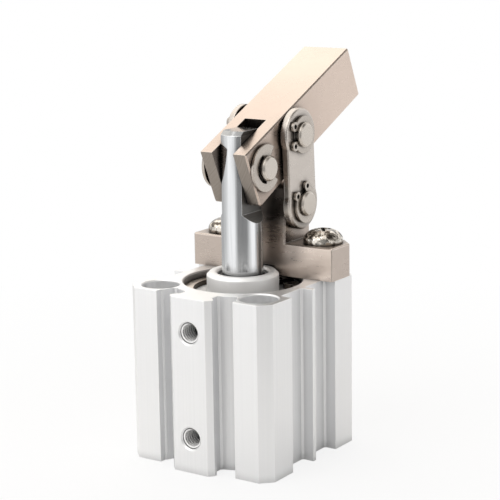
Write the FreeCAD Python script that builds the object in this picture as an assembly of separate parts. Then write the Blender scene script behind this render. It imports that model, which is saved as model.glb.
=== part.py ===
"""Lever clamp cylinder: a compact double-acting cylinder that turns a clamping lever.

Frame: origin at the centre of the body's bottom face, +Z up along the rod, the port rail
faces -Y, the bracket stands at +Y, and every cross pin lies along X. Millimetres.
The lever is drawn at rest_angle above level. The rod can move down by open_travel, which
opens the clamp, and up by close_travel, which brings the lever level.
"""
import FreeCAD
import Part
import math
import os

V = FreeCAD.Vector

# Body extrusion
body_width = 40.0
body_height = 42.0
body_corner = 2.7
bore_dia = 25.0
rail_proud = 2.5
rail_face_half = 4.7
rail_head_half = 5.9
rail_head_depth = 0.8
rail_neck_half = 4.5
rail_slope = 1.3
slot_half = 10.8
slot_step = 0.4
slot_step_depth = 1.7
slot_floor_half = 8.8
tube_dia = 34.6
groove_half = 9.6
groove_depth = 3.1
rib_width = 1.1
corner_facet = 0.45

# Corner holes for mounting bolts
hole_from_side = 6.0
hole_dia = 4.3
hole_cbore_dia = 9.0
hole_cbore_depth = 5.5
hole_edge = 0.3
bracket_thread_depth = 10.5

# Ports, M5
port_from_end = 8.3
port_dia = 5.0
port_depth = 6.2
port_edge = 0.4
port_passage_dia = 2.0

# Body ends
mouth_dia = 28.5
mouth_edge = 0.35
ring_recess = 1.8
ring_thick = 1.2
ring_groove_dia = 30.2
ring_groove_play = 0.06
ring_inner_dia = 23.8
ring_lug_radius = 1.9
ring_lug_hole = 1.8
ring_lug_angle = 14.0
ring_gap = 3.4
ring_opening_angle = 62.0
flange_thick = 1.4
spigot_length = 3.0
seal_groove_width = 1.8
seal_groove_depth = 1.35
seal_groove_play = 0.1
seal_softness = 0.3
cover_play = 0.05

# Front cover boss
boss_dia = 17.35
boss_rise = 2.1
boss_edge = 0.75
boss_hole_dia = 12.2
boss_hole_edge = 0.5
wiper_height = 2.2
wiper_recess = 0.7
wiper_lip_height = 0.7
wiper_lip_thick = 0.35
wiper_shoulder = 0.45
bush_dia = 12.0
rod_seal_height = 2.0
rod_seal_dia = 13.6
cover_floor = 0.9

# Rod
rod_dia = 10.0
rod_play = 0.04
tongue_thick = 5.7
tongue_below_pin = 11.0
tongue_runout_angle = 47.0
tongue_above_pin = 8.7
tongue_edge = 1.0
rod_pin_above_body = 27.5

# Piston
piston_length = 6.4
piston_play = 0.05
piston_edge = 0.8
bumper_proud = 0.35
bumper_dia = 20.0
bumper_width = 2.2
bumper_depth = 0.9
end_gap = 0.05
piston_seal_width = 2.0
guide_ring_width = 1.2
piston_groove_depth = 2.0
piston_seal_from_end = 1.1
guide_groove_depth = 0.9
guide_ring_from_end = 1.0
ring_bore_play = 0.02
rod_seat_depth = 1.2
bolt_dia = 5.0
bolt_head_dia = 8.5
bolt_head_height = 2.4
bolt_length = 11.0
bolt_hex = 3.0
bolt_hex_depth = 1.4
bolt_head_play = 0.1

# Travel from the drawn position
open_travel = 13.75
close_travel = 6.25

# Lever
rest_angle = 24.4
lever_width = 13.1
lever_depth = 13.5
lever_length = 50.6
lever_edge = 0.35
heel_length = 27.5
heel_drop = 0.95
pin_to_near_end = 5.3
link_pin_distance = 14.28
link_pin_raise = 0.6
fork_width = 6.0
fork_length = 15.4
fork_round = 0.9
open_slot_near = 0.4
open_slot_far = 3.0
open_slot_low = 0.8
open_slot_high = 0.95

# Cross pins and their rings
pin_dia = 6.0
pin_play = 0.05
pin_fit = 0.01
pin_edge = 0.45
clip_thick = 0.7
clip_groove_dia = 4.9
clip_groove_play = 0.03
pin_overhang = 1.0
rod_pin_overhang = 1.25
clip_gap = 0.12
e_clip_dia = 11.3
e_clip_opening_angle = 47.0
e_clip_relief_dia = 7.3
e_clip_relief_angle = 104.0
e_clip_turn_angle = 11.0
snap_dia = 9.0
snap_offset = 0.25
snap_lug_radius = 1.15
snap_lug_reach = 4.3
snap_lug_hole = 1.1
snap_lug_angle = 33.0
upper_ring_angle = 181.0
lower_ring_angle = 116.0

# Links
lower_pin_from_back = 5.45
lower_pin_above_body = 17.1
link_thick = 1.7
link_end_radius = 6.35
link_waist = 11.65
link_gap = 0.15
link_edge = 0.35

# Bracket
bracket_depth = 11.25
bracket_set_back = 0.8
bracket_overhang = 0.15
bracket_thick = 8.0
bracket_corner = 3.0
bracket_edge = 0.3
boss_relief = 0.25
post_shoulder_below_pin = 4.6
post_front_reach = 4.6
post_width = 13.8
bracket_hole_dia = 5.5

# Bracket screws, M5 pan head
screw_dia = 5.0
screw_play = 0.03
screw_head_dia = 9.6
screw_head_height = 3.4
screw_head_skirt = 0.9
screw_grip = 9.0
recess_width = 1.1
recess_length = 4.9
recess_depth = 1.7
recess_angle = 12.0

# How far a cutting form runs past the face it cuts
past = 1.0

# Values worked out from the sizes above
half = body_width / 2
rail_y = half + rail_proud
hole_pitch = body_width - 2 * hole_from_side
rod_pin_z = body_height + rod_pin_above_body
bracket_back_y = half - bracket_set_back
bracket_front_y = bracket_back_y - bracket_depth
bracket_width = body_width + 2 * bracket_overhang
lower_pin_y = bracket_back_y - lower_pin_from_back
lower_pin_z = body_height + lower_pin_above_body
body_top = body_height
mouth_depth = ring_recess + ring_thick + flange_thick
chamber_low = mouth_depth + spigot_length
chamber_high = body_height - chamber_low
piston_low = chamber_low + end_gap + bumper_proud + open_travel
piston_high = piston_low + piston_length
boss_top = body_top + boss_rise
bush_low = chamber_high + 2 * cover_floor + rod_seal_height
bush_high = boss_top - wiper_recess - wiper_height
bracket_top = body_top + bracket_thick
tongue_top = rod_pin_z + tongue_above_pin
tongue_floor = rod_pin_z - tongue_below_pin
rest = math.radians(rest_angle)
along = V(0, math.cos(rest), math.sin(rest))
across = V(0, -math.sin(rest), math.cos(rest))
upper_pin = V(0, 0, rod_pin_z) + along * link_pin_distance + across * link_pin_raise
lower_pin = V(0, lower_pin_y, lower_pin_z)
link_inner_x = post_width / 2 + link_gap
link_outer_x = link_inner_x + link_thick
clip_x = link_outer_x + clip_gap
rod_clip_x = lever_width / 2 + clip_gap
hole_places = [(sx * hole_pitch / 2, sy * hole_pitch / 2) for sx in (-1, 1) for sy in (-1, 1)]


# Basic forms

def block(x0, x1, y0, y1, z0, z1):
    return Part.makeBox(x1 - x0, y1 - y0, z1 - z0, V(x0, y0, z0))


def rod_z(radius, z0, z1, x=0.0, y=0.0):
    return Part.makeCylinder(radius, z1 - z0, V(x, y, z0), V(0, 0, 1))


def rod_x(radius, x0, x1, y=0.0, z=0.0):
    return Part.makeCylinder(radius, x1 - x0, V(x0, y, z), V(1, 0, 0))


def rod_y(radius, y0, y1, x=0.0, z=0.0):
    return Part.makeCylinder(radius, y1 - y0, V(x, y0, z), V(0, 1, 0))


def cone_z(r0, r1, z0, z1, x=0.0, y=0.0):
    return Part.makeCone(r0, r1, z1 - z0, V(x, y, z0), V(0, 0, 1))


def tube_z(outer, inner, z0, z1):
    return rod_z(outer, z0, z1).cut(rod_z(inner, z0 - past, z1 + past))


def turned(points):
    """A solid of revolution about Z from (radius, z) points of its half section."""
    wire = Part.makePolygon([V(r, 0, z) for r, z in points + points[:1]])
    return Part.Face(wire).revolve(V(0, 0, 0), V(0, 0, 1), 360)


def prism(face_wire, vector):
    return Part.Face(face_wire).extrude(vector)


def mirrored_x(shape):
    return shape.mirror(V(0, 0, 0), V(1, 0, 0))


def edged(shape, size, keep):
    """Chamfer the edges that the test picks."""
    chosen = [e for e in shape.Edges if keep(e)]
    return shape.makeChamfer(size, chosen)


def is_straight(edge):
    return isinstance(edge.Curve, Part.Line) or isinstance(edge.Curve, Part.LineSegment)


parts = {}


# Cylinder body

def side_points():
    """Groove outline of one body side, drawn for the +X side from low Y to high Y."""
    floor = half - groove_depth
    rib = rib_width / 2
    points = [(half, -groove_half), (floor + corner_facet, -groove_half)]
    points += [(floor, -groove_half + corner_facet), (floor, -rib - corner_facet)]
    points += [(floor + corner_facet, -rib), (half, -rib)]
    return points + [(x, -y) for x, y in reversed(points)]


def front_points():
    """Outline of the right half of the rail side, from the rail's centre to the column."""
    shoulder = rail_y - (rail_head_half - rail_face_half) - rail_head_depth
    neck_y = shoulder - rail_slope
    tube = tube_dia / 2
    inner_wall = slot_half - slot_step
    step_y = half - slot_step_depth
    neck_floor = math.sqrt(tube ** 2 - (rail_neck_half + corner_facet) ** 2)
    wall_foot = V(slot_floor_half, -math.sqrt(tube ** 2 - slot_floor_half ** 2), 0)
    wall_top = V(inner_wall, -step_y + slot_step, 0)
    above_foot = wall_foot + (wall_top - wall_foot).normalize() * corner_facet
    beside_foot = wall_foot.x - corner_facet
    rail = [(rail_face_half, -rail_y), (rail_head_half, -rail_y + rail_head_half - rail_face_half)]
    rail += [(rail_head_half, -shoulder), (rail_neck_half, -neck_y)]
    rail += [(rail_neck_half, -neck_floor - corner_facet), (rail_neck_half + corner_facet, -neck_floor)]
    column = [(beside_foot, -math.sqrt(tube ** 2 - beside_foot ** 2)), (above_foot.x, above_foot.y)]
    column += [(wall_top.x, wall_top.y), (slot_half, -step_y), (slot_half, -half)]
    return rail, column


def body_outline():
    rail, column = front_points()
    tube = tube_dia / 2
    mid_x = (rail[-1][0] + column[0][0]) / 2
    mid = (mid_x, -math.sqrt(tube ** 2 - mid_x ** 2))
    side = side_points()
    back = [(-y, x) for x, y in side]
    right = column + [(half - body_corner, -half), (half, -half + body_corner)] + side
    right += [(half, half - body_corner), (half - body_corner, half)]
    right += [p for p in back if p[0] > 0]
    left = [(-x, y) for x, y in reversed(right)]

    def lines(points):
        return [Part.LineSegment(V(*a, 0), V(*b, 0)).toShape() for a, b in zip(points, points[1:])]

    edges = lines([(-x, y) for x, y in reversed(rail)] + rail)
    edges.append(Part.Arc(V(*rail[-1], 0), V(*mid, 0), V(*column[0], 0)).toShape())
    edges += lines(right + left)
    edges.append(Part.Arc(V(*left[-1], 0), V(-mid[0], mid[1], 0), V(-rail[-1][0], rail[-1][1], 0)).toShape())
    return Part.Wire(edges)


def end_recess(top):
    """Cover seat, ring groove and mouth of one body end, as a cutting tool for the top end."""
    mouth = mouth_dia / 2
    groove_high = body_height - ring_recess + ring_groove_play
    groove_low = body_height - ring_recess - ring_thick - ring_groove_play
    tool = rod_z(mouth, body_height - mouth_depth, body_height + past)
    tool = tool.fuse(rod_z(ring_groove_dia / 2, groove_low, groove_high))
    tool = tool.fuse(cone_z(mouth, mouth + mouth_edge, body_height - mouth_edge, body_height))
    return tool if top else tool.mirror(V(0, 0, body_height / 2), V(0, 0, 1))


def corner_hole(x, y):
    """Through hole for a mounting bolt, tapped for a bracket screw and sunk at the top."""
    wide = hole_cbore_dia / 2
    tool = rod_z(hole_dia / 2, -past, body_height + past, x, y)
    thread_low = body_height - hole_cbore_depth - bracket_thread_depth
    tool = tool.fuse(rod_z(screw_dia / 2, thread_low, body_height + past, x, y))
    tool = tool.fuse(rod_z(wide, body_height - hole_cbore_depth, body_height + past, x, y))
    return tool.fuse(cone_z(wide, wide + hole_edge, body_height - hole_edge, body_height, x, y))


def port(z):
    radius = port_dia / 2
    tool = rod_y(radius, -rail_y - past, -rail_y + port_depth, 0, z)
    tool = tool.fuse(rod_y(port_passage_dia / 2, -rail_y + port_depth, -bore_dia / 2 + past, 0, z))
    mouth = Part.makeCone(radius + port_edge, radius, port_edge, V(0, -rail_y, z), V(0, 1, 0))
    return tool.fuse(mouth)


def cylinder_body():
    body = prism(body_outline(), V(0, 0, body_height))
    tools = [rod_z(bore_dia / 2, -past, body_height + past), end_recess(True), end_recess(False)]
    tools += [corner_hole(x, y) for x, y in hole_places]
    tools += [port(port_from_end), port(body_height - port_from_end)]
    for tool in tools:
        body = body.cut(tool)
    return body


# Covers, retaining rings and seals

def front_cover():
    """Turned cover with the rod's boss, drawn as a half section about the rod."""
    low = chamber_high
    seat = body_height - mouth_depth
    face = seat + flange_thick
    flange = mouth_dia / 2 - cover_play
    spigot = bore_dia / 2 - cover_play
    groove = spigot - seal_groove_depth
    groove_low = low + (spigot_length - seal_groove_width) / 2
    groove_high = groove_low + seal_groove_width
    boss = boss_dia / 2
    rod_hole = rod_dia / 2 + 2 * rod_play
    seal_low = low + cover_floor
    seal_high = seal_low + rod_seal_height
    hole = boss_hole_dia / 2
    points = [(rod_hole, low), (spigot, low), (spigot, groove_low), (groove, groove_low)]
    points += [(groove, groove_high), (spigot, groove_high), (spigot, seat), (flange, seat)]
    points += [(flange, face), (boss, face), (boss, boss_top - boss_edge), (boss - boss_edge, boss_top)]
    points += [(hole + boss_hole_edge, boss_top), (hole, boss_top - boss_hole_edge)]
    points += [(hole, bush_high), (bush_dia / 2, bush_high), (bush_dia / 2, bush_low)]
    points += [(rod_hole, bush_low), (rod_hole, seal_high), (rod_seal_dia / 2, seal_high)]
    points += [(rod_seal_dia / 2, seal_low), (rod_hole, seal_low)]
    return turned(points)


def rear_cover():
    high = chamber_low
    seat = mouth_depth
    face = seat - flange_thick
    flange = mouth_dia / 2 - cover_play
    spigot = bore_dia / 2 - cover_play
    groove = spigot - seal_groove_depth
    groove_low = seat + (spigot_length - seal_groove_width) / 2
    groove_high = groove_low + seal_groove_width
    points = [(0, face), (flange, face), (flange, seat), (spigot, seat), (spigot, groove_low)]
    points += [(groove, groove_low), (groove, groove_high), (spigot, groove_high), (spigot, high), (0, high)]
    return turned(points)


def cover_seal(seat_z):
    """O-ring in a cover's groove, pressed to the groove's depth."""
    outer = bore_dia / 2
    inner = outer - cover_play - seal_groove_depth
    thick = outer - inner
    middle = seat_z + spigot_length / 2
    low = middle - seal_groove_width / 2 + seal_groove_play
    high = middle + seal_groove_width / 2 - seal_groove_play
    soft = thick * seal_softness
    points = [(inner, low + soft), (inner + soft, low), (outer - soft, low), (outer, low + soft)]
    points += [(outer, high - soft), (outer - soft, high), (inner + soft, high), (inner, high - soft)]
    return turned(points)


def retaining_ring(z0):
    """Internal retaining ring with two lugs, open between them."""
    outer = ring_groove_dia / 2 - ring_groove_play
    inner = ring_inner_dia / 2
    ring = tube_z(outer, inner, z0, z0 + ring_thick)
    for side in (-1, 1):
        angle = math.radians(ring_opening_angle + side * ring_lug_angle)
        x = inner * math.cos(angle)
        y = inner * math.sin(angle)
        ring = ring.fuse(rod_z(ring_lug_radius, z0, z0 + ring_thick, x, y))
        ring = ring.cut(rod_z(ring_lug_hole / 2, z0 - past, z0 + ring_thick + past, x, y))
    gap = block(0, outer + past, -ring_gap / 2, ring_gap / 2, z0 - past, z0 + ring_thick + past)
    gap.rotate(V(0, 0, 0), V(0, 0, 1), ring_opening_angle)
    return ring.cut(gap)


def rod_bush():
    return tube_z(bush_dia / 2, rod_dia / 2 + rod_play, bush_low, bush_high)


def rod_seal():
    low = chamber_high + cover_floor
    return tube_z(rod_seal_dia / 2, rod_dia / 2 + rod_play, low, low + rod_seal_height)


def rod_wiper():
    """Wiper ring in the boss, its lip turned up against the rod."""
    low = bush_high
    top = bush_high + wiper_height
    outer = boss_hole_dia / 2
    inner = rod_dia / 2 + rod_play
    shoulder = top - wiper_lip_height
    points = [(inner, low), (outer, low), (outer, shoulder), (outer - wiper_shoulder, shoulder)]
    points += [(inner + wiper_lip_thick, top), (inner, top)]
    return turned(points)


# Rod and piston

def piston_rod():
    low = piston_high - rod_seat_depth
    rod = rod_z(rod_dia / 2, low, tongue_top)
    rod = edged(rod, tongue_edge, lambda e: abs(e.CenterOfMass.z - tongue_top) < 0.01)
    flat = tongue_thick / 2
    drop = (rod_dia - flat) * math.tan(math.radians(tongue_runout_angle))
    corners = [(flat, tongue_floor), (flat, tongue_top + past), (rod_dia, tongue_top + past)]
    corners += [(rod_dia, tongue_floor - drop), (flat, tongue_floor)]
    side_cut = prism(Part.makePolygon([V(x, -rod_dia, z) for x, z in corners]), V(0, 2 * rod_dia, 0))
    rod = rod.cut(side_cut).cut(mirrored_x(side_cut))
    rod = rod.cut(rod_x(pin_dia / 2 + pin_fit, -rod_dia, rod_dia, 0, rod_pin_z))
    tap = piston_low + bolt_head_height + bolt_length + 0.5
    return rod.cut(rod_z(bolt_dia / 2 + pin_fit, low - past, tap))


def piston():
    outer = bore_dia / 2 - piston_play
    body = rod_z(outer, piston_low, piston_high)
    body = edged(body, piston_edge, lambda e: not is_straight(e))
    bottom = outer - piston_groove_depth
    seal_low = piston_low + piston_seal_from_end
    guide_low = piston_high - guide_ring_from_end - guide_ring_width
    body = body.cut(tube_z(outer + past, bottom, seal_low, seal_low + piston_seal_width))
    body = body.cut(tube_z(outer + past, outer - guide_groove_depth, guide_low, guide_low + guide_ring_width))
    body = body.cut(rod_z(rod_dia / 2 + pin_fit, piston_high - rod_seat_depth, piston_high + past))
    body = body.cut(rod_z(bolt_dia / 2 + pin_fit, piston_low - past, piston_high))
    body = body.cut(rod_z(bolt_head_dia / 2 + bolt_head_play, piston_low - past, piston_low + bolt_head_height))
    inner = bumper_dia / 2 - bumper_width
    body = body.cut(tube_z(bumper_dia / 2, inner, piston_low - past, piston_low + bumper_depth))
    return body.cut(tube_z(bumper_dia / 2, inner, piston_high - bumper_depth, piston_high + past))


def piston_seal():
    outer = bore_dia / 2 - ring_bore_play
    low = piston_low + piston_seal_from_end
    return tube_z(outer, bore_dia / 2 - piston_play - piston_groove_depth, low, low + piston_seal_width)


def piston_guide_ring():
    outer = bore_dia / 2 - ring_bore_play
    low = piston_high - guide_ring_from_end - guide_ring_width
    return tube_z(outer, bore_dia / 2 - piston_play - guide_groove_depth, low, low + guide_ring_width)


def piston_bolt():
    head_low = piston_low + bolt_head_play
    head_high = piston_low + bolt_head_height
    bolt = rod_z(bolt_head_dia / 2, head_low, head_high)
    bolt = bolt.fuse(rod_z(bolt_dia / 2, head_high, head_high + bolt_length))
    corners = []
    for k in range(7):
        angle = math.radians(60 * k)
        reach = bolt_hex / math.sqrt(3)
        corners.append(V(reach * math.cos(angle), reach * math.sin(angle), head_low - past))
    return bolt.cut(prism(Part.makePolygon(corners), V(0, 0, bolt_hex_depth + past)))


def bumper(z0):
    return tube_z(bumper_dia / 2, bumper_dia / 2 - bumper_width, z0, z0 + bumper_depth + bumper_proud)


# Lever

def in_lever_frame(shape):
    """Turn a form drawn level about the rod pin into the lever's place."""
    moved = shape.copy()
    moved.rotate(V(0, 0, 0), V(1, 0, 0), rest_angle)
    moved.translate(V(0, 0, rod_pin_z))
    return moved


def clamp_lever():
    near = -pin_to_near_end
    deep = lever_depth / 2
    wide = lever_width / 2
    heel = deep + heel_drop
    side = [(near, deep), (near + lever_length, deep), (near + lever_length, -deep)]
    side += [(near + heel_length, -deep), (near, -heel), (near, deep)]
    bar = prism(Part.makePolygon([V(-wide, y, z) for y, z in side]), V(lever_width, 0, 0))
    low_corner = lambda e: abs(e.CenterOfMass.y - near) < 0.01 and abs(e.CenterOfMass.z + heel) < 0.01
    bar = bar.makeFillet(fork_round, [e for e in bar.Edges if low_corner(e)])
    bar = edged(bar, lever_edge, lambda e: is_straight(e) and not low_corner(e)
                and not abs(e.CenterOfMass.x) < 0.01 or abs(e.CenterOfMass.y - near - lever_length) < 0.01)
    bar = bar.cut(block(-fork_width / 2, fork_width / 2, near - past, near + fork_length, -heel - past, deep + past))
    bar = bar.cut(rod_x(pin_dia / 2 + pin_play, -wide - past, wide + past, 0, 0))
    radius = pin_dia / 2 + pin_play
    start = link_pin_distance - open_slot_near
    stop = link_pin_distance + open_slot_far
    low = link_pin_raise - open_slot_low
    high = link_pin_raise + open_slot_high
    slot = block(-wide - past, wide + past, start - radius, stop + radius, low - radius, high + radius)
    slot = slot.makeFillet(radius, [e for e in slot.Edges if e.BoundBox.XLength > lever_width])
    return in_lever_frame(bar.cut(slot))


# Links

def link_plate(side):
    """Waisted plate between the two link pins, its rim chamfered."""
    x0 = link_inner_x
    span = upper_pin.sub(lower_pin)
    length = span.Length
    plate = rod_x(link_end_radius, x0, x0 + link_thick, 0, 0)
    plate = plate.fuse(rod_x(link_end_radius, x0, x0 + link_thick, 0, length))
    plate = plate.fuse(block(x0, x0 + link_thick, -link_waist / 2, link_waist / 2, 0, length)).removeSplitter()
    plate = edged(plate, link_edge, lambda e: abs(e.BoundBox.XMin - e.BoundBox.XMax) < 0.001
                  and abs(e.BoundBox.XMin - x0 - link_thick) < 0.001)
    plate = plate.cut(rod_x(pin_dia / 2 + pin_play, x0 - past, x0 + link_thick + past, 0, 0))
    plate = plate.cut(rod_x(pin_dia / 2 + pin_fit, x0 - past, x0 + link_thick + past, 0, length))
    tilt = math.degrees(math.atan2(-span.y, span.z))
    plate.rotate(V(0, 0, 0), V(1, 0, 0), tilt)
    plate.translate(lower_pin)
    return plate if side > 0 else mirrored_x(plate)


# Pins and their rings

def cross_pin(centre, groove_x, overhang):
    """Pin along X with a groove near each end."""
    end = groove_x + clip_thick + overhang
    pin = rod_x(pin_dia / 2, -end, end, centre.y, centre.z)
    pin = edged(pin, pin_edge, lambda e: not is_straight(e))
    for side in (-1, 1):
        x0, x1 = sorted((side * (groove_x - clip_groove_play), side * (groove_x + clip_thick + clip_groove_play)))
        groove = rod_x(pin_dia, x0, x1, centre.y, centre.z)
        pin = pin.cut(groove.cut(rod_x(clip_groove_dia / 2, x0 - past, x1 + past, centre.y, centre.z)))
    return pin


def sector(radius, angle_from, angle_to):
    """Pie slice about the X axis, as a cutting tool for the rings."""
    slice_x = Part.makeCylinder(radius, clip_thick + 2 * past, V(-past, 0, 0), V(1, 0, 0), angle_to - angle_from)
    middle = slice_x.CenterOfMass
    centre = math.degrees(math.atan2(middle.z, middle.y))
    slice_x.rotate(V(0, 0, 0), V(1, 0, 0), (angle_from + angle_to) / 2 - centre)
    return slice_x


def e_clip():
    """Snap-on clip in its own plane, open towards +Y and relieved behind the pin."""
    clip = rod_x(e_clip_dia / 2, 0, clip_thick)
    clip = clip.cut(sector(e_clip_dia, -e_clip_opening_angle, e_clip_opening_angle))
    clip = clip.cut(sector(e_clip_relief_dia / 2, e_clip_relief_angle, 360 - e_clip_relief_angle))
    return clip.cut(rod_x(clip_groove_dia / 2, -past, clip_thick + past))


def snap_ring():
    """External retaining ring in its own plane, its lugs towards +Y."""
    seat = clip_groove_dia / 2
    ring = rod_x(snap_dia / 2, 0, clip_thick, -snap_offset, 0)
    for side in (-1, 1):
        angle = math.radians(side * snap_lug_angle)
        y = snap_lug_reach * math.cos(angle)
        z = snap_lug_reach * math.sin(angle)
        ring = ring.fuse(rod_x(snap_lug_radius, 0, clip_thick, y, z))
        neck = block(0, clip_thick, 0, snap_lug_reach, -snap_lug_radius, snap_lug_radius)
        neck.rotate(V(0, 0, 0), V(1, 0, 0), side * snap_lug_angle)
        ring = ring.fuse(neck)
        ring = ring.cut(rod_x(snap_lug_hole / 2, -past, clip_thick + past, y, z))
    ring = ring.cut(rod_x(seat, -past, clip_thick + past))
    gap = snap_lug_reach * math.sin(math.radians(snap_lug_angle)) - snap_lug_radius
    return ring.cut(block(-past, clip_thick + past, 0, snap_dia, -gap, gap)).removeSplitter()


def ring_pair(ring, centre, plane_x, turn):
    """The same ring at both ends of a pin."""
    right = ring.copy()
    right.rotate(V(0, 0, 0), V(1, 0, 0), turn)
    right.translate(V(plane_x, centre.y, centre.z))
    return Part.Compound([mirrored_x(right), right])


# Bracket

def bracket_post():
    """Post seen from the side: straight back, front sloped back at the top, round head about the pin."""
    head = bracket_back_y - lower_pin_y
    shoulder_y = bracket_front_y - lower_pin_y
    shoulder_z = -post_shoulder_below_pin
    reach = math.hypot(shoulder_y, shoulder_z)
    touch = math.atan2(shoulder_z, shoulder_y) % (2 * math.pi) - math.acos(post_front_reach / reach)
    turn = touch - math.acos(post_front_reach / head)

    def at(y, z):
        return V(-post_width / 2, lower_pin_y + y, lower_pin_z + z)

    start = at(head * math.cos(turn), head * math.sin(turn))
    middle = at(head * math.cos(turn / 2), head * math.sin(turn / 2))
    end = at(head, 0)
    low = body_top + bracket_thick / 2
    corners = [end, V(end.x, bracket_back_y, low), V(end.x, bracket_front_y, low), at(shoulder_y, shoulder_z), start]
    arc = Part.Arc(start, middle, end).toShape()
    return prism(Part.Wire([arc] + Part.makePolygon(corners).Edges), V(post_width, 0, 0))


def clamp_bracket():
    """Bar across the body's top with a post whose round head holds the lower link pin."""
    wide = bracket_width / 2
    base_points = [(-wide, bracket_front_y), (wide, bracket_front_y), (wide, bracket_back_y - bracket_corner)]
    base_points += [(wide - bracket_corner, bracket_back_y), (-wide + bracket_corner, bracket_back_y)]
    base_points += [(-wide, bracket_back_y - bracket_corner), (-wide, bracket_front_y)]
    base = prism(Part.makePolygon([V(x, y, body_top) for x, y in base_points]), V(0, 0, bracket_thick))
    base = edged(base, bracket_edge, lambda e: is_straight(e) and e.CenterOfMass.z > body_top + 0.01)
    post = bracket_post()
    post = edged(post, bracket_edge, lambda e: abs(abs(e.CenterOfMass.x) - post_width / 2) < 0.01
                 and e.CenterOfMass.z > body_top + bracket_thick / 2 + 0.01)
    bracket = base.fuse(post).removeSplitter()
    bracket = bracket.cut(rod_z(boss_dia / 2 + boss_relief, body_top - past, boss_top + boss_relief))
    bracket = bracket.cut(rod_x(pin_dia / 2 + pin_fit, -wide, wide, lower_pin_y, lower_pin_z))
    for side in (-1, 1):
        x = side * hole_pitch / 2
        bracket = bracket.cut(rod_z(bracket_hole_dia / 2, body_top - past, bracket_top + past, x, hole_pitch / 2))
    return bracket


def pan_screw(x, y):
    """Pan head screw with a cross recess, its thread drawn plain."""
    head = screw_head_dia / 2
    seat = bracket_top
    crown_high = seat + screw_head_height
    shank = screw_dia / 2 - screw_play
    tip = body_top - hole_cbore_depth - screw_grip
    start = V(head, 0, seat + screw_head_skirt)
    middle = V(head * 0.72, 0, seat + screw_head_skirt + (screw_head_height - screw_head_skirt) * 0.68)
    dome = Part.Arc(start, middle, V(0, 0, crown_high)).toShape()
    outline = [V(0, 0, crown_high), V(0, 0, tip), V(shank, 0, tip), V(shank, 0, seat), V(head, 0, seat), start]
    wire = Part.Wire([dome] + Part.makePolygon(outline).Edges)
    screw = Part.Face(wire).revolve(V(0, 0, 0), V(0, 0, 1), 360)
    for turn in (0, 90):
        bar = block(-recess_length / 2, recess_length / 2, -recess_width / 2, recess_width / 2,
                    crown_high - recess_depth, crown_high + past)
        bar.rotate(V(0, 0, 0), V(0, 0, 1), turn + recess_angle)
        screw = screw.cut(bar)
    screw.translate(V(x, y, 0))
    return screw


def bracket_screws():
    return Part.Compound([pan_screw(side * hole_pitch / 2, hole_pitch / 2) for side in (-1, 1)])


rod_pin_place = V(0, 0, rod_pin_z)

parts["cylinder_body"] = cylinder_body()
parts["front_cover"] = front_cover()
parts["rear_cover"] = rear_cover()
parts["front_cover_seal"] = cover_seal(chamber_high)
parts["rear_cover_seal"] = cover_seal(mouth_depth)
parts["front_retaining_ring"] = retaining_ring(body_height - ring_recess - ring_thick)
parts["rear_retaining_ring"] = retaining_ring(ring_recess)
parts["rod_bush"] = rod_bush()
parts["rod_seal"] = rod_seal()
parts["rod_wiper"] = rod_wiper()
parts["piston_rod"] = piston_rod()
parts["piston"] = piston()
parts["piston_seal"] = piston_seal()
parts["piston_guide_ring"] = piston_guide_ring()
parts["piston_bolt"] = piston_bolt()
parts["front_bumper"] = bumper(piston_high - bumper_depth)
parts["rear_bumper"] = bumper(piston_low - bumper_proud)
parts["clamp_lever"] = clamp_lever()
parts["link_plate_right"] = link_plate(1)
parts["link_plate_left"] = link_plate(-1)
parts["rod_pin"] = cross_pin(rod_pin_place, rod_clip_x, rod_pin_overhang)
parts["rod_pin_clips"] = ring_pair(e_clip(), rod_pin_place, rod_clip_x, e_clip_turn_angle)
parts["upper_link_pin"] = cross_pin(upper_pin, clip_x, pin_overhang)
parts["upper_pin_rings"] = ring_pair(snap_ring(), upper_pin, clip_x, upper_ring_angle)
parts["lower_link_pin"] = cross_pin(lower_pin, clip_x, pin_overhang)
parts["lower_pin_rings"] = ring_pair(snap_ring(), lower_pin, clip_x, lower_ring_angle)
parts["clamp_bracket"] = clamp_bracket()
parts["bracket_screws"] = bracket_screws()

os.makedirs("parts", exist_ok=True)
for name, shape in parts.items():
    shape.exportStep("parts/" + name + ".step")
    box = shape.BoundBox
    print(name, shape.isValid(), len(shape.Solids), round(shape.Volume, 1),
          [round(v, 2) for v in (box.XMin, box.XMax, box.YMin, box.YMax, box.ZMin, box.ZMax)])
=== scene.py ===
import math
import bpy
from mathutils import Matrix, Vector


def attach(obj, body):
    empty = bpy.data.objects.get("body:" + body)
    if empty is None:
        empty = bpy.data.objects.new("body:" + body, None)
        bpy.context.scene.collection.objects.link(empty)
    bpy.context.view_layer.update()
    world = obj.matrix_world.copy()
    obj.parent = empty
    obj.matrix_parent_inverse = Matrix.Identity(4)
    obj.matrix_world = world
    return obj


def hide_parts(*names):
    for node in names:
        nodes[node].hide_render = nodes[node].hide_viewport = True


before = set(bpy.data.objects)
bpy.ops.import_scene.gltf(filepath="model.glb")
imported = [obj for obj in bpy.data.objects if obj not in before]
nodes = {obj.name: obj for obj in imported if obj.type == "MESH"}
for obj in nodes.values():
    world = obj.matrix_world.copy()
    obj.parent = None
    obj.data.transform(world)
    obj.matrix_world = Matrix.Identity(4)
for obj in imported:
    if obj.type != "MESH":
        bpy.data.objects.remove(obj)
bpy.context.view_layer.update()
MM = 0.001

# Camera, solved from the straight edges of the body in the photograph
CAMERA_AZIMUTH = 34.306
CAMERA_ELEVATION = 12.226
CAMERA_ROLL = -0.85
CAMERA_DISTANCE = 394.62 * MM
CAMERA_SHIFT_RIGHT = 1.097 * MM
CAMERA_SHIFT_UP = 48.036 * MM
CAMERA_FOCAL_PIXELS = 1609.72
IMAGE_PIXELS = 500.0
SENSOR_WIDTH = 36.0

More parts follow.
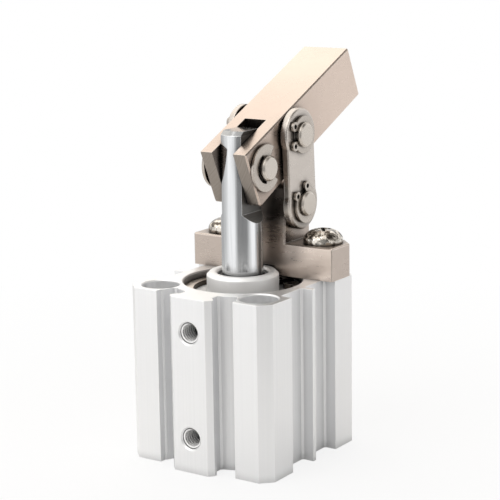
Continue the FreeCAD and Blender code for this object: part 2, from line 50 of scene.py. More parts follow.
# Floor: the camera sees it nearly white under the object and quite white at the rim
FLOOR_RADIUS = 0.2
FLOOR_DROP = 0.00002
FLOOR_TONE = 0.80
FLOOR_FADE = (0.05, 0.188)
FLOOR_GLOW = 0.80

# Studio seen in reflections: brightness round the horizon, by degrees from the camera to the right
HORIZON = [
    (-180, 0.62), (-132, 0.54), (-108, 0.68), (-90, 0.95), (-74, 1.15), (-40, 1.16),
    (-30, 0.60), (-21, 0.27), (23, 0.27), (33, 0.48), (43, 0.95), (54, 1.25),
    (70, 1.25), (78, 0.75), (86, 0.42), (96, 0.48), (108, 1.04), (140, 1.04), (180, 0.84)]
HORIZON_TOP = 0.25
CEILING_START = 0.60
CEILING = (1.06, 1.04, 1.01)
SOFTBOX_TOWARD = (-0.55, 0.37, 0.75)
SOFTBOX_EDGES = (0.72, 0.93)
SOFTBOX = (1.60, 1.55, 1.47)
FLAG_TOWARD = (0.53, 0.36, 0.77)
FLAG_EDGES = (0.86, 0.96)
FLAG = (0.20, 0.19, 0.18)
LAMP_PLACE = (-0.12, -0.42, 0.66)
LAMP_TARGET = (0, 0.01, 0.05)
LAMP_SIZE = 0.5
LAMP_POWER = 1.2
LAMP_COLOR = (1.0, 0.99, 0.975)

# Sizes of the object in millimetres, as in the solids
REST_ANGLE = math.radians(24.4)
LEVER_ALONG = Vector((0, math.cos(REST_ANGLE), math.sin(REST_ANGLE)))
BRACKET_TOP = 50.0
SCREW_PLACES = [(-14.0, 14.0), (14.0, 14.0)]
SCREW_HEAD_RADIUS = 4.8
SCREW_HEAD_HEIGHT = 3.4
SCREW_SHANK_RADIUS = 2.47
SCREW_TIP = 27.5
BODY_HEIGHT = 42.0
ROD_CROWN = 77.2
TONGUE_RUNOUT = math.radians(47.0)
MOUTH_RADIUS = 14.25
RAIL_FACE = 22.5
PORT_HEIGHTS = (33.7, 8.3)
PORT_RADIUS = 2.5
PORT_CHAMFER = 0.4
PORT_DEPTH = 6.2

# Crown and cross recess of the screw heads in millimetres, finer here than in the solids
PAN_SKIRT = 0.9
WING_REACH = 2.45
WING_HALF_WIDTH = 0.62
WING_TAPER = 0.13
WING_DEPTH = 1.75
WING_RISE = 0.42
CENTRE_RADIUS = 1.05
CENTRE_DEPTH = 1.9
SCREW_TURNS = (12.0, 35.0)

# Port thread in millimetres. Foot and top are half widths of the ridge, as shares of the pitch
THREAD_PITCH = 0.8
THREAD_ROOT = 2.53
THREAD_CREST = 2.02
THREAD_START = 0.30
THREAD_END = 0.45
THREAD_RUN_OUT = 0.4
RIDGE_FOOT = 0.30
RIDGE_TOP = 0.15

# Weights that leave the distance from a line along Z or along Y
ROUND_Z = (1, 1, 0)
ROUND_Y = (1, 0, 1)

# Places of marks, of painted shade and of painted light on the pieces, in metres
FACING_CENTRE = (0.012, -0.034, 0)
SAW_CENTRE = (-0.020, 0, 0.088)
RAIL_SIDE = (-0.0160, -0.0155)
LEVER_LENGTH_SHADE = (0.030, 0.068)
LEVER_NOSE_SHADE = (0.019, 0.034)
FOOT_PAINTED_LIGHT = (0.003, 0.015)


def camera_axes(azimuth, elevation, roll):
    a = math.radians(azimuth)
    e = math.radians(elevation)
    r = math.radians(roll)
    back = Vector((math.sin(a) * math.cos(e), -math.cos(a) * math.cos(e), math.sin(e)))
    level = Vector((math.cos(a), math.sin(a), 0.0))
    upright = back.cross(level)
    right = level * math.cos(r) + upright * math.sin(r)
    up = upright * math.cos(r) - level * math.sin(r)
    return right, up, back


def make_camera():
    data = bpy.data.cameras.new("camera")
    cam = bpy.data.objects.new("camera", data)
    bpy.context.scene.collection.objects.link(cam)
    right, up, back = camera_axes(CAMERA_AZIMUTH, CAMERA_ELEVATION, CAMERA_ROLL)
    place = back * CAMERA_DISTANCE + right * CAMERA_SHIFT_RIGHT + up * CAMERA_SHIFT_UP
    turn = Matrix((right, up, back)).transposed().to_4x4()
    cam.matrix_world = Matrix.Translation(place) @ turn
    data.sensor_width = SENSOR_WIDTH
    data.lens = SENSOR_WIDTH * CAMERA_FOCAL_PIXELS / IMAGE_PIXELS
    data.clip_start = 0.01
    data.clip_end = 20.0
    bpy.context.scene.camera = cam


# Node helpers

# The finished materials by name
made = {}


class Shader:
    """A material's node tree with short calls for the nodes used here."""

    def __init__(self, name):
        self.name = name
        self.material = bpy.data.materials.new(name)
        self.material.use_nodes = True
        self.tree = self.material.node_tree
        self.surface = self.tree.nodes["Principled BSDF"]
        self.place = None

    def add(self, kind, **settings):
        node = self.tree.nodes.new(kind)
        for key, value in settings.items():
            setattr(node, key, value)
        return node

    def join(self, output, socket):
        self.tree.links.new(output, socket)

    def feed(self, socket, value):
        if isinstance(value, bpy.types.NodeSocket):
            self.join(value, socket)
        else:
            socket.default_value = value

    def feed_color(self, socket, color):
        if isinstance(color, bpy.types.NodeSocket):
            self.join(color, socket)
        else:
            socket.default_value = (*color, 1.0)

    def position(self):
        if self.place is None:
            self.place = self.add("ShaderNodeTexCoord").outputs["Object"]
        return self.place

    def noise(self, scale, detail=2.0, stretch=(1, 1, 1), turn=(0, 0, 0), rough=0.5):
        mapping = self.add("ShaderNodeMapping")
        self.join(self.position(), mapping.inputs["Vector"])
        mapping.inputs["Scale"].default_value = stretch
        mapping.inputs["Rotation"].default_value = [math.radians(v) for v in turn]
        noise = self.add("ShaderNodeTexNoise")
        self.join(mapping.outputs["Vector"], noise.inputs["Vector"])
        noise.inputs["Scale"].default_value = scale
        noise.inputs["Detail"].default_value = detail
        noise.inputs["Roughness"].default_value = rough
        return noise.outputs["Fac"]

    def math(self, operation, a, b):
        node = self.add("ShaderNodeMath", operation=operation)
        self.feed(node.inputs[0], a)
        self.feed(node.inputs[1], b)
        return node.outputs[0]

    def plus(self, a, b):
        return self.math("ADD", a, b)

    def times(self, a, b):
        return self.math("MULTIPLY", a, b)

    def spread(self, value, low, high, to_low, to_high):
        """A value's place between low and high, carried over to another range and held inside it."""
        node = self.add("ShaderNodeMapRange")
        for socket, v in zip(node.inputs, (value, low, high, to_low, to_high)):
            self.feed(socket, v)
        return node.outputs[0]

    def mix(self, factor, a, b):
        """Colour between two colours."""
        node = self.add("ShaderNodeMix", data_type="RGBA")
        self.feed(node.inputs["Factor"], factor)
        self.feed_color(node.inputs["A"], a)
        self.feed_color(node.inputs["B"], b)
        return node.outputs["Result"]

    def blend_values(self, factor, a, b):
        """Value between two values."""
        node = self.add("ShaderNodeMix", data_type="FLOAT")
        self.feed(node.inputs["Factor"], factor)
        self.feed(node.inputs["A"], a)
        self.feed(node.inputs["B"], b)
        return node.outputs["Result"]

    def bump(self, height, strength, depth, normal=None):
        node = self.add("ShaderNodeBump")
        node.inputs["Strength"].default_value = strength
        node.inputs["Distance"].default_value = depth
        self.feed(node.inputs["Height"], height)
        if normal is not None:
            self.join(normal, node.inputs["Normal"])
        return node.outputs["Normal"]

    def rounded(self, radius):
        """Surface normal as if every edge had a radius."""
        node = self.add("ShaderNodeBevel", samples=6)
        node.inputs["Radius"].default_value = radius
        return node.outputs["Normal"]

    def edge_mask(self, radius):
        """1 close to an edge, 0 on a flat: how far the rounded normal leans from the true one."""
        geometry = self.add("ShaderNodeNewGeometry")
        dot = self.add("ShaderNodeVectorMath", operation="DOT_PRODUCT")
        self.join(self.rounded(radius), dot.inputs[0])
        self.join(geometry.outputs["Normal"], dot.inputs[1])
        return self.spread(dot.outputs["Value"], 0.999, 0.86, 0.0, 1.0)

    def painted_occlusion_shade(self, distance, floor):
        """Painted shade: 1 on an open surface, down to a floor value in gaps and corners narrower than
        a distance.
        """
        node = self.add("ShaderNodeAmbientOcclusion", samples=8)
        node.inputs["Distance"].default_value = distance
        return self.spread(node.outputs["AO"], 0.25, 0.95, floor, 1.0)

    def line_distance(self, point, weights):
        """Distance from a line through a point. The weight is 0 for the axis the line follows."""
        shift = self.add("ShaderNodeVectorMath", operation="SUBTRACT")
        self.join(self.position(), shift.inputs[0])
        shift.inputs[1].default_value = point
        flat = self.add("ShaderNodeVectorMath", operation="MULTIPLY")
        self.join(shift.outputs[0], flat.inputs[0])
        flat.inputs[1].default_value = weights
        length = self.add("ShaderNodeVectorMath", operation="LENGTH")
        self.join(flat.outputs[0], length.inputs[0])
        return length.outputs["Value"]

    def axis_distance(self):
        """Distance from the rod's axis."""
        return self.line_distance((0, 0, 0), ROUND_Z)

    def port_distance(self):
        """Distance from the axis of the nearer port."""
        first, second = [self.line_distance((0, 0, z * MM), ROUND_Y) for z in PORT_HEIGHTS]
        return self.math("MINIMUM", first, second)

    def coordinate(self, letter):
        parts = self.add("ShaderNodeSeparateXYZ")
        self.join(self.position(), parts.inputs[0])
        return parts.outputs[letter]

    def height(self):
        return self.coordinate("Z")

    def shade(self, color, share):
        """Colour multiplied by a value."""
        node = self.add("ShaderNodeMix", data_type="RGBA", blend_type="MULTIPLY")
        node.inputs["Factor"].default_value = 1.0
        self.feed_color(node.inputs["A"], color)
        self.join(share, node.inputs["B"])
        return node.outputs["Result"]

    def facing(self, direction, low=0.90, high=0.97):
        """1 where the surface itself faces a direction, in the part's own axes."""
        normal = self.add("ShaderNodeTexCoord").outputs["Normal"]
        dot = self.add("ShaderNodeVectorMath", operation="DOT_PRODUCT")
        self.join(normal, dot.inputs[0])
        dot.inputs[1].default_value = Vector(direction).normalized()
        return self.spread(dot.outputs["Value"], low, high, 0.0, 1.0)

    def facing_either(self, first, second, low=0.90, high=0.97):
        return self.math("MAXIMUM", self.facing(first, low, high), self.facing(second, low, high))

    def rings(self, centre, weights, scale, detail=3.0):
        """Irregular rings about a line: noise that depends only on the distance from it."""
        distance = self.line_distance(centre, weights)
        noise = self.add("ShaderNodeTexNoise", noise_dimensions="1D")
        self.join(self.times(distance, scale), noise.inputs["W"])
        noise.inputs["Scale"].default_value = 1.0
        noise.inputs["Detail"].default_value = detail
        return noise.outputs["Fac"]

    def finish(self, color, roughness, metallic=1.0, normal=None):
        self.feed_color(self.surface.inputs["Base Color"], color)
        self.feed(self.surface.inputs["Roughness"], roughness)
        self.surface.inputs["Metallic"].default_value = metallic
        if normal is not None:
            self.join(normal, self.surface.inputs["Normal"])
        made[self.name] = self.material
        return self.material


def paint(material, *names):
    for name in names:
        obj = nodes[name]
        obj.data.materials.clear()
        obj.data.materials.append(material)


# Materials

def anodised():
    """Clear anodised extrusion: faint drawing lines along Z, faced ends with turning marks."""
    s = Shader("anodised_aluminium")
    lines = s.noise(1.0, 4.0, (2200, 2200, 14))
    grain = s.noise(7000, 2.0)
    cloud = s.noise(45, 3.0)
    ends = s.facing_either((0, 0, 1), (0, 0, -1))
    turning = s.rings(FACING_CENTRE, ROUND_Z, 5200)
    tone = s.plus(s.times(lines, 0.6), s.times(cloud, 0.4))
    color = s.mix(s.spread(tone, 0.35, 0.65, 0.0, 1.0), (0.848, 0.853, 0.862), (0.888, 0.892, 0.900))
    faced = s.mix(turning, (0.86, 0.86, 0.855), (0.93, 0.93, 0.925))
    color = s.mix(ends, color, faced)
    # Painted highlight: a thin bright line along every edge
    color = s.mix(s.edge_mask(0.00045), color, (1.0, 1.0, 1.0))
    # Painted shade in gaps and corners
    color = s.shade(color, s.painted_occlusion_shade(0.0022, 0.66))
    # Painted shade: the walls of the two mouths get darker with depth
    mouth_edge = ((MOUTH_RADIUS + 0.2) * MM, (MOUTH_RADIUS + 0.25) * MM)
    inside = s.spread(s.axis_distance(), *mouth_edge, 1.0, 0.0)
    upper = s.spread(s.height(), (BODY_HEIGHT - 1.9) * MM, (BODY_HEIGHT - 0.3) * MM, 0.05, 0.60)
    lower = s.spread(s.height(), (BODY_HEIGHT / 2 + 0.1) * MM, BODY_HEIGHT / 2 * MM, 0.0, 0.3)
    color = s.shade(color, s.blend_values(inside, 1.0, s.math("MAXIMUM", upper, lower)))
    # Painted shade, too, on the walls of the ports, on the rail's side only
    port = s.spread(s.port_distance(), (PORT_RADIUS + 0.02) * MM, (PORT_RADIUS + 0.06) * MM, 1.0, 0.0)
    port = s.times(port, s.spread(s.coordinate("Y"), *RAIL_SIDE, 1.0, 0.0))
    inward = s.spread(s.axis_distance(), (RAIL_FACE - 1.3) * MM, (RAIL_FACE - 0.7) * MM, 0.28, 0.85)
    color = s.shade(color, s.blend_values(port, 1.0, inward))
    rough = s.spread(s.plus(lines, grain), 0.7, 1.3, 0.40, 0.49)
    rough = s.blend_values(ends, rough, s.spread(turning, 0.3, 0.7, 0.33, 0.44))
    drawn = s.plus(s.times(lines, 0.7), s.times(grain, 0.35))
    height = s.blend_values(ends, drawn, s.times(turning, 0.9))
    normal = s.bump(height, 0.10, 0.00002, s.rounded(0.00018))
    return s.finish(color, rough, 0.82, normal)


def port_thread():
    """Cut thread, coloured by the distance from the nearer port's axis: bright crests, and dark roots
    as painted shade.
    """
    s = Shader("port_thread")
    root = s.spread(s.port_distance(), (THREAD_ROOT - 0.26) * MM, (THREAD_ROOT - 0.18) * MM, 0.0, 1.0)
    grain = s.noise(5200, 2.0)
    # Painted shade: the roots are coloured nearly black
    color = s.mix(root, (1.0, 1.0, 1.0), (0.11, 0.11, 0.112))
    rough = s.spread(grain, 0.3, 0.7, 0.22, 0.34)
    return s.finish(color, rough, 0.0, s.bump(grain, 0.08, 0.00002))


def turned_aluminium():
    """Turned cover: fine rings round the rod's axis on every face."""
    s = Shader("turned_aluminium")
    face = s.rings((0, 0, 0), ROUND_Z, 9000)
    side = s.noise(1.0, 4.0, (60, 60, 9000))
    grain = s.noise(6000, 2.0)
    ends = s.facing((0, 0, 1))
    marks = s.blend_values(ends, side, face)
    color = s.mix(marks, (0.93, 0.93, 0.928), (0.985, 0.985, 0.983))
    # Painted shade in gaps and corners, except on the faces looking up
    color = s.shade(color, s.blend_values(ends, 0.98, s.painted_occlusion_shade(0.0035, 0.25)))
    rough = s.spread(s.plus(marks, grain), 0.7, 1.3, 0.40, 0.52)
    height = s.plus(marks, s.times(grain, 0.3))
    normal = s.bump(height, 0.22, 0.00003, s.rounded(0.00030))
    return s.finish(color, rough, 0.45, normal)


def satin_nickel(name, along, tint, edge=0.00022, drawn=0.25, depth=0.010,
                 is_lever=False, is_bracket=False):
    """Nickel plating over ground steel: grain along one way, clouds and pits, edges lightened as partly
    worn plating and partly painted highlight, and painted shade in gaps.
    """
    s = Shader(name)
    grain = s.noise(1.0, 5.0, along, rough=0.6)
    cloud = s.noise(120, 3.0)
    patch = s.noise(420, 3.0)
    pits = s.noise(3200, 3.0)
    broad = s.noise(28, 1.0)
    tone = s.plus(s.times(cloud, 0.35), s.times(patch, 0.12))
    tone = s.plus(tone, s.times(broad, 0.4))
    tone = s.plus(tone, s.times(grain, drawn))
    dark = tuple(v * 0.90 for v in tint)
    light = tuple(min(1.0, v * 1.07) for v in tint)
    color = s.mix(s.spread(tone, 0.30, 0.60, 0.0, 1.0), dark, light)
    # Edges lightened: partly worn plating, partly a painted highlight
    wear_and_highlight = s.times(s.edge_mask(0.00034), s.spread(patch, 0.3, 0.7, 0.55, 1.0))
    color = s.mix(wear_and_highlight, color, (1.0, 0.93, 0.86))
    if is_lever:
        # The sawn ends are duller and keep curved tool marks; their dark colour is also painted shade
        cut = s.facing_either(-LEVER_ALONG, LEVER_ALONG)
        marks = s.rings(SAW_CENTRE, (1, 0.5, 1), 3600, 2.0)
        sawn = s.mix(s.spread(marks, 0.35, 0.65, 0.0, 1.0), (0.33, 0.29, 0.255), (0.42, 0.375, 0.335))
        color = s.mix(cut, color, sawn)
        along_bar = s.add("ShaderNodeVectorMath", operation="DOT_PRODUCT")
        s.join(s.position(), along_bar.inputs[0])
        along_bar.inputs[1].default_value = LEVER_ALONG
        # Painted shade: the whole lever gets darker towards the fork's end
        color = s.shade(color, s.spread(along_bar.outputs["Value"], *LEVER_LENGTH_SHADE, 0.83, 1.02))
        # Painted shade: the sides get darker towards the fork's end
        sides = s.facing_either((1, 0, 0), (-1, 0, 0))
        nose = s.spread(along_bar.outputs["Value"], *LEVER_NOSE_SHADE, 0.55, 1.0)
        color = s.shade(color, s.blend_values(sides, 1.0, nose))
    if is_bracket:
        # Painted shade on the post's front, deepest below the lever
        above = s.spread(s.height(), BRACKET_TOP * MM, (BRACKET_TOP + 1.5) * MM, 0.0, 1.0)
        front = s.times(s.facing((0, -1, 0.1), 0.35, 0.8), above)
        under = s.spread(s.height(), (BRACKET_TOP + 3.0) * MM, (BRACKET_TOP + 7.0) * MM, 0.0, 1.0)
        painted_post_shade = s.mix(under, tuple(v * 0.66 for v in tint), tuple(v * 0.13 for v in tint))
        color = s.mix(front, color, painted_post_shade)
        # Painted light on the front of the right foot
        foot_painted_light = s.spread(s.coordinate("X"), *FOOT_PAINTED_LIGHT, 0.0, 1.0)
        foot_painted_light = s.times(foot_painted_light, s.facing((0, -1, 0), 0.9, 0.98))
        foot_painted_light = s.times(foot_painted_light, s.spread(broad, 0.25, 0.6, 0.7, 1.0))
        color = s.mix(foot_painted_light, color, tuple(min(1.0, v * 1.55) for v in tint))
    # Painted shade in creases, then in wider gaps such as under the lever
    color = s.shade(color, s.painted_occlusion_shade(0.0014, 0.32))
    color = s.shade(color, s.painted_occlusion_shade(depth, 0.42))
    rough = s.spread(s.plus(grain, s.times(cloud, 0.8)), 0.7, 1.15, 0.25, 0.38)
    height = s.plus(s.times(grain, drawn * 2.0), s.times(pits, 0.35))
    if is_lever:
        height = s.blend_values(cut, height, s.times(marks, 4.0))
        rough = s.blend_values(cut, rough, s.spread(marks, 0.3, 0.7, 0.30, 0.46))
    normal = s.bump(height, 0.02 if is_bracket else 0.12, 0.00003, s.rounded(edge))
    return s.finish(color, rough, 1.0, normal)


def polished_rod():
    """Hard chrome on the round, and ground flats on the tongue whose dark colour is partly painted
    shade.
    """
    s = Shader("polished_rod")
    rings = s.noise(1.0, 3.0, (300, 300, 9000))
    streak = s.noise(1.0, 3.0, (1500, 1500, 45))
    flats = s.facing_either((1, 0, 0), (-1, 0, 0), 0.985, 0.998)
    milled = s.noise(1.0, 4.0, (400, 400, 5200))
    color = s.mix(s.spread(streak, 0.35, 0.65, 0.0, 1.0), (0.66, 0.67, 0.68), (0.76, 0.77, 0.78))
    slope = (math.sin(TONGUE_RUNOUT), 0, math.cos(TONGUE_RUNOUT))
    other_slope = (-math.sin(TONGUE_RUNOUT), 0, math.cos(TONGUE_RUNOUT))
    flats = s.math("MAXIMUM", flats, s.facing_either(slope, other_slope, 0.985, 0.998))
    # Ground flats, coloured dark partly as painted shade
    color = s.mix(flats, color, s.mix(milled, (0.14, 0.138, 0.133), (0.26, 0.256, 0.248)))
    # Painted highlight along the edges
    color = s.mix(s.edge_mask(0.00026), color, (0.98, 0.98, 0.98))
    # Painted shade in gaps and corners
    color = s.shade(color, s.painted_occlusion_shade(0.0030, 0.22))
    color = s.shade(color, s.spread(s.height(), ROD_CROWN * MM, (ROD_CROWN + 0.1) * MM, 1.0, 0.50))
    rough = s.spread(s.plus(rings, streak), 0.7, 1.3, 0.11, 0.17)
    rough = s.blend_values(flats, rough, s.spread(milled, 0.3, 0.7, 0.36, 0.50))
    height = s.blend_values(flats, s.times(rings, 0.5), s.times(milled, 2.0))
    normal = s.bump(height, 0.06, 0.00001, s.rounded(0.00015))
    return s.finish(color, rough, 1.0, normal)


def bright_screw():
    """Bright plating over a cold formed head, which is never quite even, with dark blots painted in as
    reflections.
    """
    s = Shader("bright_screw")
    wave = s.noise(520, 1.0)
    cloud = s.noise(900, 3.0)
    painted_dark_reflection = s.noise(700, 3.0, turn=(20, 35, 10), rough=0.6)
    fine = s.noise(4200, 2.0)
    color = s.mix(cloud, (0.66, 0.61, 0.54), (0.86, 0.81, 0.74))
    # Painted reflection: dark blots laid over the plating
    color = s.mix(s.spread(painted_dark_reflection, 0.47, 0.57, 0.0, 1.0), color, (0.13, 0.11, 0.09))
    # Painted shade in the recess
    color = s.shade(color, s.painted_occlusion_shade(0.0012, 0.12))
    rough = s.spread(cloud, 0.3, 0.7, 0.05, 0.13)
    height = s.plus(wave, s.times(fine, 0.06))
    normal = s.bump(height, 0.8, 0.0009)
    return s.finish(color, rough, 1.0, normal)


def rubber():
    s = Shader("black_rubber")
    cloud = s.noise(1800, 3.0)
    color = s.mix(cloud, (0.012, 0.012, 0.013), (0.03, 0.03, 0.031))
    rough = s.spread(cloud, 0.3, 0.7, 0.42, 0.6)
    return s.finish(color, rough, 0.0, s.bump(cloud, 0.15, 0.00004, s.rounded(0.0001)))


def plain_metal(name, low, high, rough_low, rough_high):
    s = Shader(name)
    cloud = s.noise(700, 4.0)
    fine = s.noise(6000, 2.0)
    # Painted shade in gaps and corners
    color = s.shade(s.mix(cloud, low, high), s.painted_occlusion_shade(0.0014, 0.25))
    rough = s.spread(s.plus(cloud, fine), 0.7, 1.3, rough_low, rough_high)
    return s.finish(color, rough, 1.0, s.bump(fine, 0.1, 0.00002, s.rounded(0.00022)))


def ring_steel():
    """Punched retaining ring: bright flat faces, and edges painted dark as shade."""
    s = Shader("ring_steel")
    cloud = s.noise(700, 4.0)
    fine = s.noise(6000, 2.0)
    flat = s.facing_either((0, 0, 1), (0, 0, -1))
    color = s.mix(cloud, (0.80, 0.72, 0.64), (0.92, 0.84, 0.76))
    # Painted shade: the edges are coloured nearly black
    color = s.mix(flat, (0.10, 0.085, 0.07), color)
    # Painted shade in gaps and corners
    color = s.shade(color, s.painted_occlusion_shade(0.0010, 0.35))
    rough = s.spread(s.plus(cloud, fine), 0.7, 1.3, 0.26, 0.40)
    return s.finish(color, rough, 1.0, s.bump(fine, 0.1, 0.00002, s.rounded(0.0001)))


def dress():
    paint(anodised(), "cylinder_body", "piston")
    paint(turned_aluminium(), "front_cover", "rear_cover")
    lever = satin_nickel("nickel_lever", (2400, 260, 2400), (0.68, 0.562, 0.485), is_lever=True)
    links = satin_nickel("nickel_links", (900, 900, 900), (0.585, 0.535, 0.490),
                         edge=0.00050, depth=0.006)
    bracket = satin_nickel("nickel_bracket", (200, 1500, 1500), (0.52, 0.448, 0.398),
                           drawn=0.05, depth=0.003, is_bracket=True)
    pins = satin_nickel("nickel_pins", (1500, 1500, 1500), (0.60, 0.55, 0.495), edge=0.0004)
    paint(lever, "clamp_lever")
    paint(links, "link_plate_right", "link_plate_left")
    paint(bracket, "clamp_bracket")
    paint(pins, "rod_pin", "upper_link_pin", "lower_link_pin")
    paint(plain_metal("spring_steel", (0.42, 0.38, 0.34), (0.56, 0.51, 0.46), 0.18, 0.30),
          "rod_pin_clips", "upper_pin_rings", "lower_pin_rings")
    paint(ring_steel(), "front_retaining_ring", "rear_retaining_ring")
    paint(polished_rod(), "piston_rod")
    paint(bright_screw(), "bracket_screws", "piston_bolt")
    paint(rubber(), "rod_wiper", "rod_seal", "piston_seal", "front_cover_seal", "rear_cover_seal",
          "front_bumper", "rear_bumper")
    paint(plain_metal("sintered_bronze", (0.42, 0.28, 0.13), (0.55, 0.38, 0.20), 0.35, 0.5), "rod_bush")
    plastic = plain_metal("guide_plastic", (0.75, 0.72, 0.66), (0.8, 0.78, 0.72), 0.5, 0.6)
    paint(plastic, "piston_guide_ring")


# Bracket screws

def head_height(radius):
    """Height of the pan head's crown above the seat at a radius."""
    share = min(1.0, radius / SCREW_HEAD_RADIUS)
    return PAN_SKIRT + (SCREW_HEAD_HEIGHT - PAN_SKIRT) * (1.0 - share ** 2.6) ** 0.62


def smooth_step(value, low, high):
    t = max(0.0, min(1.0, (value - low) / (high - low)))
    return t * t * (3 - 2 * t)


def recess_floor(x, y):
    """How far the cross recess sinks at a point of the head: four tapered wings and a deeper middle."""
    sunk = 0.0
    for u, v in ((x, y), (y, x)):
        reach = abs(u)
        half = WING_HALF_WIDTH - WING_TAPER * reach
        inside = smooth_step(half - abs(v), 0.0, 0.16) * smooth_step(WING_REACH - reach, 0.0, 0.22)
        sunk = max(sunk, inside * (WING_DEPTH - WING_RISE * reach))
    return max(sunk, smooth_step(CENTRE_RADIUS - math.hypot(x, y), 0.0, 0.25) * CENTRE_DEPTH)


def make_screws():
    """Pan head screws with a cross recess, as one piece in place of the plain ones."""
    verts = []
    faces = []
    around = 160
    # Close rings over the recess, wider ones over the crown, close ones again at its rim
    radii = [0.07 * k for k in range(1, 41)] + [2.8 + 0.2 * k for k in range(1, 10)]
    radii += [SCREW_HEAD_RADIUS - 0.12, SCREW_HEAD_RADIUS - 0.04, SCREW_HEAD_RADIUS - 0.008]
    for (cx, cy), degrees in zip(SCREW_PLACES, SCREW_TURNS):
        turn = math.radians(degrees)
        first = len(verts)

        def at(radius, angle, height):
            x = cx + radius * math.cos(angle)
            y = cy + radius * math.sin(angle)
            verts.append(Vector((x, y, height)) * MM)

        at(0, 0, BRACKET_TOP + head_height(0) - recess_floor(0, 0))
        rows = []
        for radius in radii:
            rows.append(len(verts))
            for k in range(around):
                angle = 2 * math.pi * k / around
                x = radius * math.cos(angle - turn)
                y = radius * math.sin(angle - turn)
                at(radius, angle, BRACKET_TOP + head_height(radius) - recess_floor(x, y))
        skirt = [
            (SCREW_HEAD_RADIUS, 0.78), (SCREW_HEAD_RADIUS, 0.16), (SCREW_HEAD_RADIUS - 0.05, 0.04),
            (SCREW_HEAD_RADIUS - 0.16, 0.0), (SCREW_SHANK_RADIUS, 0.0),
            (SCREW_SHANK_RADIUS, SCREW_TIP - BRACKET_TOP)]
        for radius, height in skirt:
            rows.append(len(verts))
            for k in range(around):
                at(radius, 2 * math.pi * k / around, BRACKET_TOP + height)
        for k in range(around):
            faces.append((first, rows[0] + k, rows[0] + (k + 1) % around))
        for low, high in zip(rows, rows[1:]):
            for k in range(around):
                n = (k + 1) % around
                faces.append((low + k, high + k, high + n, low + n))
        faces.append(tuple(rows[-1] + k for k in reversed(range(around))))
    mesh = bpy.data.meshes.new("pan_head_screws")
    mesh.from_pydata(verts, [], faces)
    mesh.update()
    mesh.shade_smooth()
    mesh.set_sharp_from_angle(angle=math.radians(38))
    screws = bpy.data.objects.new("pan_head_screws", mesh)
    bpy.context.scene.collection.objects.link(screws)
    mesh.materials.append(made["bright_screw"])
    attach(screws, "barrel")
    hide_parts("bracket_screws")


# Port threads

def thread_piece(name, z):
    """Internal thread of one port: a helical ridge that stands in from the port's wall."""
    steps = 60
    first = -RAIL_FACE + THREAD_START
    last = -RAIL_FACE + PORT_DEPTH - THREAD_END
    turns = (last - first) / THREAD_PITCH
    count = int(turns * steps)
    run_out = steps * THREAD_RUN_OUT
    section = [
        (THREAD_ROOT, RIDGE_FOOT), (THREAD_CREST, RIDGE_TOP),
        (THREAD_CREST, -RIDGE_TOP), (THREAD_ROOT, -RIDGE_FOOT)]
    verts = []
    faces = []
    for i in range(count + 1):
        angle = 2 * math.pi * i / steps
        y = first + THREAD_PITCH * i / steps
        fade = max(0.02, min(1.0, i / run_out, (count - i) / run_out))
        for radius, half in section:
            # The wall opens into a chamfer next to the rim, and the ridge's root follows it
            depth = y + half * THREAD_PITCH + RAIL_FACE
            wall = THREAD_ROOT + max(0.0, PORT_CHAMFER - depth)
            if radius == THREAD_ROOT:
                r = wall
            else:
                r = wall - (wall - radius) * fade
            verts.append(Vector((r * math.cos(angle), depth - RAIL_FACE, z + r * math.sin(angle))) * MM)
    for i in range(count):
        for k in range(4):
            a = i * 4 + k
            b = i * 4 + (k + 1) % 4
            faces.append((a, b, b + 4, a + 4))
    faces.append((0, 3, 2, 1))
    faces.append((count * 4, count * 4 + 1, count * 4 + 2, count * 4 + 3))
    mesh = bpy.data.meshes.new(name)
    mesh.from_pydata(verts, [], faces)
    mesh.update()
    obj = bpy.data.objects.new(name, mesh)
    bpy.context.scene.collection.objects.link(obj)
    mesh.materials.append(made["port_thread"])
    for polygon in mesh.polygons:
        polygon.use_smooth = False
    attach(obj, "barrel")


# Floor, light and background

def make_floor():
    """Round pale floor. For the camera its rim fades into the white backdrop."""
    mesh = bpy.data.meshes.new("floor")
    steps = 96
    ring = [2 * math.pi * k / steps for k in range(steps)]
    verts = [(FLOOR_RADIUS * math.cos(t), FLOOR_RADIUS * math.sin(t), 0) for t in ring]
    mesh.from_pydata(verts, [], [tuple(range(steps))])
    floor = bpy.data.objects.new("floor", mesh)
    bpy.context.scene.collection.objects.link(floor)
    floor.location.z = -FLOOR_DROP
    s = Shader("floor_white")
    s.surface.inputs["Roughness"].default_value = 0.9
    s.surface.inputs["Base Color"].default_value = (FLOOR_TONE, FLOOR_TONE, FLOOR_TONE, 1)
    glow = s.add("ShaderNodeEmission")
    path = s.add("ShaderNodeLightPath")
    mixer = s.add("ShaderNodeMixShader")
    length = s.add("ShaderNodeVectorMath", operation="LENGTH")
    s.join(s.position(), length.inputs[0])
    white = s.spread(length.outputs["Value"], *FLOOR_FADE, FLOOR_GLOW, 1.0)
    s.feed(mixer.inputs[0], s.times(path.outputs["Is Camera Ray"], white))
    s.join(s.surface.outputs[0], mixer.inputs[1])
    s.join(glow.outputs[0], mixer.inputs[2])
    s.join(mixer.outputs[0], s.tree.nodes["Material Output"].inputs["Surface"])
    mesh.materials.append(s.material)


def make_lamp():
    data = bpy.data.lights.new("key_light", "AREA")
    data.shape = "RECTANGLE"
    data.size = LAMP_SIZE
    data.size_y = LAMP_SIZE
    data.energy = LAMP_POWER
    data.color = LAMP_COLOR
    lamp = bpy.data.objects.new("key_light", data)
    bpy.context.scene.collection.objects.link(lamp)
    lamp.location = LAMP_PLACE
    lamp.rotation_mode = "QUATERNION"
    lamp.rotation_quaternion = (Vector(LAMP_TARGET) - Vector(LAMP_PLACE)).to_track_quat("-Z", "Y")


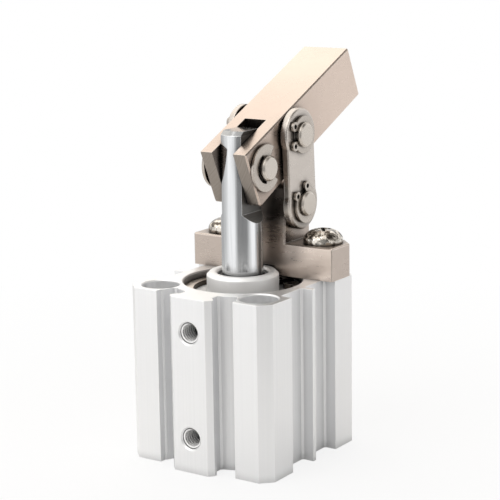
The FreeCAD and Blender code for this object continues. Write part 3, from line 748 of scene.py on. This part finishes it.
def make_world():
    """White studio: bright panels at both sides and a grey gap by the camera.

    Above it are a softbox at the back left and a dark flag at the right. The camera itself sees white.
    """
    world = bpy.data.worlds.new("studio")
    bpy.context.scene.world = world
    world.use_nodes = True
    tree = world.node_tree
    tree.nodes.clear()
    add = tree.nodes.new
    link = tree.links.new
    direction = add("ShaderNodeTexCoord").outputs["Generated"]
    parts = add("ShaderNodeSeparateXYZ")
    link(direction, parts.inputs[0])

    def calc(operation, a, b):
        """Result of a sum on sockets or numbers."""
        node = add("ShaderNodeMath")
        node.operation = operation
        for socket, value in zip(node.inputs, (a, b)):
            if isinstance(value, (int, float)):
                socket.default_value = value
            else:
                link(value, socket)
        return node.outputs[0]

    def patch(toward, edges):
        """1 in the middle of a patch of the studio around one direction, 0 outside it."""
        dot = add("ShaderNodeVectorMath")
        dot.operation = "DOT_PRODUCT"
        link(direction, dot.inputs[0])
        dot.inputs[1].default_value = Vector(toward).normalized()
        soft = add("ShaderNodeMapRange")
        soft.interpolation_type = "SMOOTHSTEP"
        link(dot.outputs["Value"], soft.inputs["Value"])
        soft.inputs["From Min"].default_value = edges[0]
        soft.inputs["From Max"].default_value = edges[1]
        return soft.outputs[0]

    def over(factor, a, color):
        """One colour laid over another."""
        node = add("ShaderNodeMix")
        node.data_type = "RGBA"
        link(factor, node.inputs["Factor"])
        link(a, node.inputs["A"])
        node.inputs["B"].default_value = (*color, 1)
        return node.outputs["Result"]

    turn = calc("ARCTAN2", parts.outputs["X"], calc("MULTIPLY", parts.outputs["Y"], -1.0))
    turn = calc("SUBTRACT", turn, math.radians(CAMERA_AZIMUTH))
    turn = calc("WRAP", turn, math.pi)
    turn.node.inputs[2].default_value = -math.pi
    share = calc("ADD", calc("DIVIDE", turn, 2 * math.pi), 0.5)
    around = add("ShaderNodeValToRGB")
    link(share, around.inputs[0])
    around.color_ramp.interpolation = "EASE"
    ramp = around.color_ramp.elements
    while len(ramp) > 1:
        ramp.remove(ramp[-1])
    for k, (angle, level) in enumerate(HORIZON):
        element = ramp[0] if k == 0 else ramp.new((angle + 180) / 360)
        element.position = (angle + 180) / 360
        element.color = (level, level, level, 1)
    lift = add("ShaderNodeMapRange")
    lift.interpolation_type = "SMOOTHSTEP"
    link(parts.outputs["Z"], lift.inputs["Value"])
    lift.inputs["From Min"].default_value = HORIZON_TOP
    lift.inputs["From Max"].default_value = CEILING_START
    sky = over(lift.outputs[0], around.outputs[0], CEILING)
    sky = over(patch(SOFTBOX_TOWARD, SOFTBOX_EDGES), sky, SOFTBOX)
    sky = over(patch(FLAG_TOWARD, FLAG_EDGES), sky, FLAG)
    path = add("ShaderNodeLightPath")
    sky = over(path.outputs["Is Camera Ray"], sky, (1, 1, 1))
    background = add("ShaderNodeBackground")
    link(sky, background.inputs["Color"])
    output = add("ShaderNodeOutputWorld")
    link(background.outputs[0], output.inputs["Surface"])


make_camera()
dress()
make_screws()
port_thread()
thread_piece("rod_end_port_thread", PORT_HEIGHTS[0])
thread_piece("rear_port_thread", PORT_HEIGHTS[1])
make_floor()
make_world()
make_lamp()
bpy.context.scene.view_settings.view_transform = "Standard"
